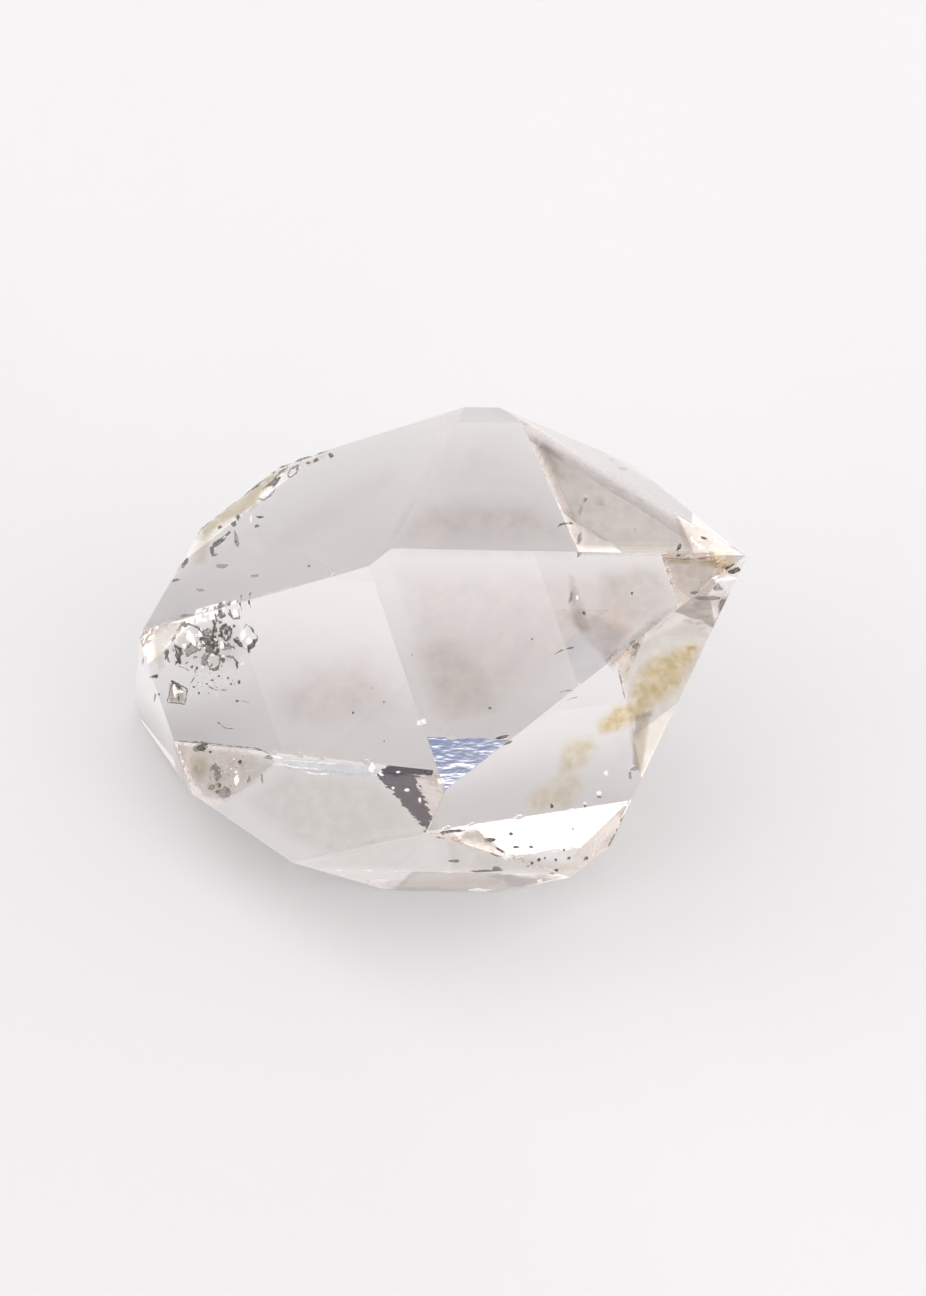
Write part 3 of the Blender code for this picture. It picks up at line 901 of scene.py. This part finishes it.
def left_group_crumbs(bm_dark, bm_glint, bm_faint):
    """The fine broken texture between the squares of the left group, below
    them, and in the lower left corner."""
    rng = random.Random(11)
    for i in range(210):
        a = rng.uniform(0, 2 * math.pi)
        r = abs(rng.gauss(0, 1))
        if i < 110:
            u = 208 + 17 * r * math.cos(a) + 6 * rng.uniform(-1, 1)
            v = 642 + 13 * r * math.sin(a) + 5 * rng.uniform(-1, 1)
            size = rng.uniform(0.4, 1.5)
        elif i < 160:
            u = 214 + 17 * r * math.cos(a)
            v = 681 + 7 * r * math.sin(a)
            size = rng.uniform(0.25, 0.7)
        else:
            u = 222 + 16 * r * math.cos(a)
            v = 772 + 11 * r * math.sin(a)
            size = rng.uniform(0.3, 0.9)
            if v < 748 or u > 265:
                continue
        if v < 660 - 0.27 * (u - 143) - 22 or u < 150:
            continue
        # the pale crumbs are painted glints, the others dark specks
        which = bm_dark if rng.random() < 0.62 else bm_glint
        if i >= 110 and which is bm_dark:
            which = bm_faint
        speck(which, u, v, size * rng.uniform(1.0, 2.2), size * 0.7, rng.uniform(0, 180),
              rng.uniform(.45, .75), .03, seed=300 + i, rough=.7, detail=1)


def build_sealed():
    dark = speck_material("dark_mineral", (0.055, 0.042, 0.034), (0.40, 0.33, 0.28), solid=0.80)
    brown = speck_material("brown_seam", (0.16, 0.125, 0.10), (0.44, 0.37, 0.32), solid=0.62)
    faint = speck_material("faint_shadow", (0.17, 0.14, 0.12), (0.50, 0.45, 0.40), solid=0.38)
    # pale marks: white with a faint glow, painted glints
    pale = speck_material("painted_glint", (0.95, 0.95, 0.95), (1.0, 0.98, 0.96), 0.25, 0.45, 0.9)
    bm = bmesh.new()
    for i, (u, v, rx, ry, ang, depth) in enumerate(DARK_LUMPS):
        speck(bm, u, v, rx, ry, ang, depth, .04, seed=i, rough=.95)
    bm2 = bmesh.new()
    for i, (u, v, rx, ry, ang, depth) in enumerate(GLINT_LUMPS):
        speck(bm2, u, v, rx, ry, ang, depth, .04, seed=100 + i, rough=.95)
    bm3 = bmesh.new()
    left_group_crumbs(bm, bm2, bm3)
    for i, (pts, width, depth, closed) in enumerate(GLINT_LINES):
        streak(bm2, pts, width, depth, .03, seed=80 + i, closed=closed)
    sealed("dark_specks", bm, dark)
    sealed("painted_glints", bm2, pale, smooth=False)
    for i, (u, v, rx, ry, ang, depth) in enumerate(FAINT_LUMPS):
        speck(bm3, u, v, rx, ry, ang, depth, .02, seed=500 + i, rough=1.1)
    sealed("faint_shadows", bm3, faint)
    bm = bmesh.new()
    for i, (pts, width, depth, closed) in enumerate(DARK_LINES):
        streak(bm, pts, width, depth, .035, seed=60 + i, closed=closed)
    sealed("dark_seams", bm, dark)
    bm = bmesh.new()
    for i, (pts, width, depth, closed) in enumerate(BROWN_LINES):
        streak(bm, pts, width, depth, .035, seed=i, closed=closed)
    sealed("brown_seams", bm, brown)
    film("limonite_film", film_material("limonite", (0.87, 0.73, 0.42), 1.0, .95, .16, .56), LIMONITE)
    film("brown_film", film_material("brown_haze", (0.55, 0.48, 0.43), 1.0, .9, .10, .55), BROWN_FILM)
    film("bruise_film", film_material("bruise", (0.40, 0.345, 0.305), 1.0, 1.2, .25, .55), BRUISE_FILM)
    film("olive_film", film_material("olive_haze", (0.64, 0.60, 0.45), 1.0, .7, .1, .45), OLIVE_FILM)
    film("yellow_film", film_material("yellow_haze", (0.92, 0.80, 0.56), 1.0, .6, .2, .5), YELLOW_FILM)
    # painted shade: clear darkening films, not a haze in the crystal
    film("painted_shade_film", film_material("painted_shade_tint", (0.84, 0.775, 0.735), 1.0, .5, -1.0, 0.0), SHADE_FILM)
    film("beige_veil", film_material("beige_veil", (0.80, 0.75, 0.70), 0.0, .9, 0.0, .4), BEIGE_VEIL)
    film("pale_veil", film_material("pale_veil", (0.80, 0.755, 0.72), 0.0, .6, -.6, .3), PALE_VEIL)
    film("grey_film", film_material("grey_haze", (0.80, 0.79, 0.745), 1.0, .8, -.5, .2), GREY_FILM)
    # painted reflection: pale blue tint on the low strip
    film("painted_blue_reflection", film_material("painted_blue_tint", (0.70, 0.78, 0.92), 1.0, 1.4, .1, .5), BLUE_LIGHT_FILM)
    film("cream_film", film_material("cream_haze", (0.96, 0.91, 0.82), 0.0, .5, -.5, .2), CREAM_FILM)


# ---------------------------------------------------------------------------
# floor, light, camera
# ---------------------------------------------------------------------------
def build_floor():
    mat, nt = new_material("pale_floor")
    out = node(nt, "ShaderNodeOutputMaterial")
    bsdf = node(nt, "ShaderNodeBsdfPrincipled")
    nt.links.new(bsdf.outputs[0], out.inputs["Surface"])
    tex = node(nt, "ShaderNodeTexCoord")
    big = node(nt, "ShaderNodeTexNoise")
    big.inputs["Scale"].default_value = 30.0
    big.inputs["Detail"].default_value = 1.0
    nt.links.new(tex.outputs["Object"], big.inputs["Vector"])
    tone = node(nt, "ShaderNodeValToRGB")
    tone.color_ramp.elements[0].position = 0.3
    tone.color_ramp.elements[0].color = (0.846, 0.851, 0.872, 1.0)
    tone.color_ramp.elements[1].position = 0.7
    tone.color_ramp.elements[1].color = (0.862, 0.867, 0.890, 1.0)
    nt.links.new(big.outputs["Fac"], tone.inputs["Fac"])
    # painted shadow: the pale ground is painted a little darker towards the front left, where the crystal's shade
    # falls
    across = node(nt, "ShaderNodeVectorMath", operation="DOT_PRODUCT")
    nt.links.new(tex.outputs["Object"], across.inputs[0])
    across.inputs[1].default_value = (0.86, 0.51, 0.0)
    painted_shadow_grade = node(nt, "ShaderNodeMapRange", interpolation_type="SMOOTHSTEP")
    painted_shadow_grade.inputs["From Min"].default_value = -9.0 * MM
    painted_shadow_grade.inputs["From Max"].default_value = 2.0 * MM
    painted_shadow_grade.inputs["To Min"].default_value = 0.962
    painted_shadow_grade.inputs["To Max"].default_value = 1.002
    nt.links.new(across.outputs["Value"], painted_shadow_grade.inputs["Value"])
    graded = node(nt, "ShaderNodeVectorMath", operation="SCALE")
    nt.links.new(tone.outputs["Color"], graded.inputs[0])
    nt.links.new(painted_shadow_grade.outputs[0], graded.inputs["Scale"])
    nt.links.new(graded.outputs[0], bsdf.inputs["Base Color"])
    bsdf.inputs["Roughness"].default_value = 0.9
    bsdf.inputs["Specular IOR Level"].default_value = 0.0
    bm = bmesh.new()
    bmesh.ops.create_grid(bm, x_segments=24, y_segments=24, size=900.0)
    ob = make_object("floor", bm, mat)
    ob.location.z = -0.012 * MM
    return ob


def direction(az, el):
    """Unit vector: azimuth 0 is away from the front view, + to the right."""
    a, e = math.radians(az), math.radians(el)
    return (math.sin(a) * math.cos(e), math.cos(a) * math.cos(e), math.sin(e))


# azimuth, elevation, inner and outer half angle, colour added
SKY_BASE = (0.990, 0.960, 0.945)
SKY_LOBES = (
    # wide soft panels and the darker parts of the room between them
    (-82, 46, 12, 58, (0.375, 0.352, 0.335)),
    (138, 42, 10, 42, (0.400, 0.380, 0.360)),
    (72, 50, 8, 32, (-0.150, -0.150, -0.150)),
    (0, 34, 14, 46, (-0.330, -0.300, -0.280)),
    (0, 85, 6, 28, (0.330, 0.322, 0.335)),
    (180, 20, 8, 36, (-0.355, -0.352, -0.345)),
    # small things of the room that the facets pick out
    (-163, 25, 8, 17, (-0.56, -0.55, -0.52)),     # the dark shape of the camera
    (0, 70, 3, 6.5, (1.25, 1.30, 1.40)),          # bright pane, high behind
    (-3, 62, 1.2, 4.7, (-0.74, -0.66, -0.46)),    # dark bar below it
    (38, 22, 3, 12, (-0.05, -0.04, -0.07)),
    (-63, 32, 3, 9, (-0.70, -0.62, -0.60)),
)


def build_world():
    world = bpy.data.worlds.new("studio")
    bpy.context.scene.world = world
    world.use_nodes = True
    nt = world.node_tree
    for n in list(nt.nodes):
        nt.nodes.remove(n)
    out = node(nt, "ShaderNodeOutputWorld")
    back = node(nt, "ShaderNodeBackground")
    nt.links.new(back.outputs[0], out.inputs["Surface"])
    tex = node(nt, "ShaderNodeTexCoord")
    unit = node(nt, "ShaderNodeVectorMath", operation="NORMALIZE")
    nt.links.new(tex.outputs["Generated"], unit.inputs[0])
    total = None
    base = node(nt, "ShaderNodeCombineXYZ")
    for i, val in enumerate(SKY_BASE):
        base.inputs[i].default_value = val
    total = base.outputs[0]
    for az, el, inner, outer, colour in SKY_LOBES:
        dot = node(nt, "ShaderNodeVectorMath", operation="DOT_PRODUCT")
        nt.links.new(unit.outputs[0], dot.inputs[0])
        dot.inputs[1].default_value = direction(az, el)
        soft = node(nt, "ShaderNodeMapRange", interpolation_type="SMOOTHSTEP")
        soft.inputs["From Min"].default_value = math.cos(math.radians(outer))
        soft.inputs["From Max"].default_value = math.cos(math.radians(inner))
        nt.links.new(dot.outputs["Value"], soft.inputs["Value"])
        add = node(nt, "ShaderNodeVectorMath", operation="MULTIPLY_ADD")
        nt.links.new(soft.outputs[0], add.inputs[0])
        add.inputs[1].default_value = colour
        nt.links.new(total, add.inputs[2])
        total = add.outputs[0]
    # straight behind everything stands a plain backdrop in the floor's tone
    light = node(nt, "ShaderNodeLightPath")
    plain = node(nt, "ShaderNodeMixRGB")
    nt.links.new(light.outputs["Is Camera Ray"], plain.inputs["Fac"])
    nt.links.new(total, plain.inputs["Color1"])
    plain.inputs["Color2"].default_value = (0.896, 0.890, 0.905, 1.0)
    nt.links.new(plain.outputs[0], back.inputs["Color"])
    world.cycles.sampling_method = "MANUAL"
    world.cycles.sample_map_resolution = 256
    return world


def build_camera():
    data = bpy.data.cameras.new("camera")
    data.sensor_fit = "AUTO"
    data.sensor_width = 36.0
    data.lens = 36.0 * FOCAL / FRAME_H
    data.clip_start = 0.002
    data.clip_end = 20.0
    ob = bpy.data.objects.new("camera", data)
    bpy.context.scene.collection.objects.link(ob)
    m = Matrix.Identity(4)
    for r in range(3):
        m[r][0], m[r][1], m[r][2] = CAM_X[r], CAM_Y[r], CAM_Z[r]
        m[r][3] = CAM_POS[r] * MM
    ob.matrix_world = m
    bpy.context.scene.camera = ob
    return ob


# ---------------------------------------------------------------------------
build_camera()
crystal = build_crystal(crystal_material())
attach(crystal, "root")
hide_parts("quartz_crystal")
build_sealed()
build_floor()
build_world()

scene = bpy.context.scene
scene.view_settings.view_transform = "Standard"
scene.view_settings.look = "None"
scene.cycles.max_bounces = 22
scene.cycles.transmission_bounces = 22
scene.cycles.sampling_pattern = "TABULATED_SOBOL"
scene.cycles.glossy_bounces = 22
scene.cycles.diffuse_bounces = 2
scene.cycles.transparent_max_bounces = 24
